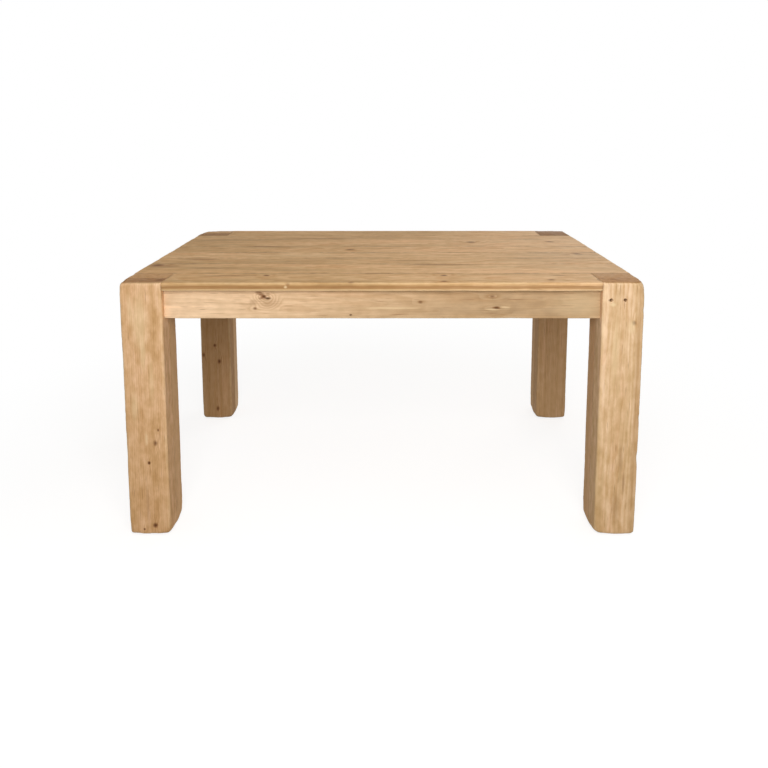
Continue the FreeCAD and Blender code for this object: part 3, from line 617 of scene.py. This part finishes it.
# Planed beech: even pinkish tan with short dark ray flecks, longer than real ones so that they show
beechLook = {
    "colour": "#CFA277",
    "dark": "#B5855A",
    "bandMm": 25,
    "bandDetail": 3.0,
    "fleck": "#8E5F3A",
    "fleckMm": (6, 0.9, 0.9),
    "fleckDetail": 1.0,
    "fleckSpan": (0.58, 0.7),
    "fleckShare": 0.6,
    "bumpMm": 0.2,
    "bumpStrength": 0.3,
    "roughness": 0.55,
}
beech, tree = bareMaterial("planed beech")
place = addNode(tree, "TexCoord").outputs["Object"]
bandScale = 1 / (beechLook["bandMm"] * mm)
bands = addNode(tree, "TexNoise", {},
                {"Vector": place, "Scale": bandScale, "Detail": beechLook["bandDetail"]})
tint = addNode(tree, "Mix", {"data_type": "RGBA"},
               {0: bands, 6: linear(beechLook["colour"]), 7: linear(beechLook["dark"])})
stretched = addNode(tree, "VectorMath", {"operation": "MULTIPLY"},
                    [place, [1 / (size * mm) for size in beechLook["fleckMm"]]])
rays = addNode(tree, "TexNoise", {},
               {"Vector": stretched, "Scale": 1.0, "Detail": beechLook["fleckDetail"]})
rayShare = addNode(tree, "MapRange", {}, [rays, *beechLook["fleckSpan"], 0.0, beechLook["fleckShare"]])
tint = addNode(tree, "Mix", {"data_type": "RGBA"}, {0: rayShare, 6: tint, 7: linear(beechLook["fleck"])})
bump = addNode(tree, "Bump", {},
               {"Strength": beechLook["bumpStrength"], "Distance": beechLook["bumpMm"] * mm, "Height": rays})
shader = addNode(tree, "BsdfPrincipled", {},
                 {"Base Color": tint, "Roughness": beechLook["roughness"], "Normal": bump})
addNode(tree, "OutputMaterial", {}, [shader])

# Zinc-plated steel: bluish grey, cloudy, half dull
zincLook = {"bright": "#C9CCCF", "dull": "#9DA2A6", "cloudMm": 6, "cloudDetail": 4.0,
            "roughness": (0.28, 0.5)}
zinc, tree = bareMaterial("zinc plated steel")
place = addNode(tree, "TexCoord").outputs["Object"]
cloudScale = 1 / (zincLook["cloudMm"] * mm)
clouds = addNode(tree, "TexNoise", {},
                 {"Vector": place, "Scale": cloudScale, "Detail": zincLook["cloudDetail"]})
tint = addNode(tree, "Mix", {"data_type": "RGBA"},
               {0: clouds, 6: linear(zincLook["bright"]), 7: linear(zincLook["dull"])})
rough = addNode(tree, "MapRange", {}, [clouds, *noiseSpan, *zincLook["roughness"]])
shader = addNode(tree, "BsdfPrincipled", {}, {"Base Color": tint, "Metallic": 1.0, "Roughness": rough})
addNode(tree, "OutputMaterial", {}, [shader])

# Moulded nylon: dark, matte, with a fine spark texture
nylonLook = {"colour": "#3A3632", "scuffed": "#57524C", "grainMm": 0.8, "bumpMm": 0.1, "bumpStrength": 0.3,
             "roughness": 0.6}
nylon, tree = bareMaterial("moulded nylon")
place = addNode(tree, "TexCoord").outputs["Object"]
spark = addNode(tree, "TexNoise", {}, {"Vector": place, "Scale": 1 / (nylonLook["grainMm"] * mm)})
tint = addNode(tree, "Mix", {"data_type": "RGBA"},
               {0: spark, 6: linear(nylonLook["colour"]), 7: linear(nylonLook["scuffed"])})
bump = addNode(tree, "Bump", {},
               {"Strength": nylonLook["bumpStrength"], "Distance": nylonLook["bumpMm"] * mm, "Height": spark})
shader = addNode(tree, "BsdfPrincipled", {},
                 {"Base Color": tint, "Roughness": nylonLook["roughness"], "Normal": bump})
addNode(tree, "OutputMaterial", {}, [shader])
finishes = {"plank_tongue": beech, "top_button": beech, "button_screws": zinc, "lag_bolt": zinc,
            "floor_glide": nylon}
for node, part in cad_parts.items():
    for start, finish in finishes.items():
        if node.startswith(start):
            paint(part, finish)
print("hardware finished")

# Studio: a pale floor that keeps the shadow, a white world, a soft lamp in front and a weaker one behind
studio = {
    "floorM": 30,
    "floor": "#B4B2AE",  # for the light that the floor throws back
    "shadowed": "#9A9896",  # for the eye, with a lift, up to plain white further off
    "lift": 0.8,
    "fadeM": (0.9, 2.0),
    "world": 0.4,
}
lamps = {
    "key": {"watts": 39, "at": (0.15, -2.35, 1.58), "to": (0, -0.3, 0.5), "sizeM": (1.6, 1.2)},
    "rim": {"watts": 20, "at": (2.0, 3.0, 1.9), "to": (0, 0.3, 0.4), "sizeM": (2.0, 1.2)},
}


def seenRays(tree):
    # 1 for what is seen, straight or in metal, and 0 for the light that falls on the table
    rays = addNode(tree, "LightPath").outputs
    seen = addNode(tree, "Math", {"operation": "MAXIMUM"}, [rays["Is Camera Ray"], rays["Is Glossy Ray"]])
    return addNode(tree, "Math", {"operation": "MAXIMUM"}, [seen, rays["Is Transmission Ray"]])


bm = bmesh.new()
bmesh.ops.create_grid(bm, x_segments=1, y_segments=1, size=studio["floorM"] / 2)
floorMesh = bpy.data.meshes.new("floor")
bm.to_mesh(floorMesh)
bm.free()
floor = bpy.data.objects.new("floor", floorMesh)
scene.collection.objects.link(floor)
floor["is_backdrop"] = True
floorPaint, tree = bareMaterial("matte floor paint")
place = addNode(tree, "TexCoord").outputs["Object"]
away = addNode(tree, "VectorMath", {"operation": "LENGTH"}, [place])
far = addNode(tree, "MapRange", {"interpolation_type": "SMOOTHSTEP"}, [away, *studio["fadeM"]])
lit = addNode(tree, "BsdfDiffuse", {}, {"Color": linear(studio["floor"])})
dark = addNode(tree, "BsdfDiffuse", {}, {"Color": linear(studio["shadowed"])})
glow = addNode(tree, "Emission", {}, {"Strength": studio["lift"]})
lifted = addNode(tree, "AddShader", {}, [dark, glow])
white = addNode(tree, "Emission", {}, {"Strength": 1.0})
shown = addNode(tree, "MixShader", {}, [far, lifted, white])
both = addNode(tree, "MixShader", {}, [seenRays(tree), lit, shown])
addNode(tree, "OutputMaterial", {}, [both])
floorMesh.materials.append(floorPaint)

world = bpy.data.worlds.new("studio")
world.use_nodes = True
scene.world = world
tree = world.node_tree
tree.nodes.clear()
level = addNode(tree, "MapRange", {}, {0: seenRays(tree), 3: studio["world"], 4: 1.0})
sky = addNode(tree, "Background", {}, {"Color": (1, 1, 1, 1), "Strength": level})
addNode(tree, "OutputWorld", {}, [sky])

for name, lamp in lamps.items():
    softbox = bpy.data.lights.new(name, "AREA")
    softbox.shape = "RECTANGLE"
    softbox.size, softbox.size_y = lamp["sizeM"]
    softbox.energy = lamp["watts"]
    stand = bpy.data.objects.new(name, softbox)
    stand.location = lamp["at"]
    aim = Vector(lamp["to"]) - Vector(lamp["at"])
    stand.rotation_euler = aim.to_track_quat("-Z", "Y").to_euler()
    stand.visible_camera = False  # never a white patch in other views
    scene.collection.objects.link(stand)

# Camera in front of the table at chest height, tipped a little down, with some shift as in the photo
view = {"at": (0.019, -2.291, 1.226), "downDeg": 6.76, "lensMm": 31.03, "sensorMm": 36,
        "shift": (-0.0062, -0.24)}
lens = bpy.data.cameras.new("camera")
lens.lens, lens.sensor_width = view["lensMm"], view["sensorMm"]
lens.shift_x, lens.shift_y = view["shift"]
camera = bpy.data.objects.new("camera", lens)
camera.location = view["at"]
camera.rotation_euler = (math.radians(90 - view["downDeg"]), 0, 0)
scene.collection.objects.link(camera)
scene.camera = camera
print("studio set")

low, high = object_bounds()
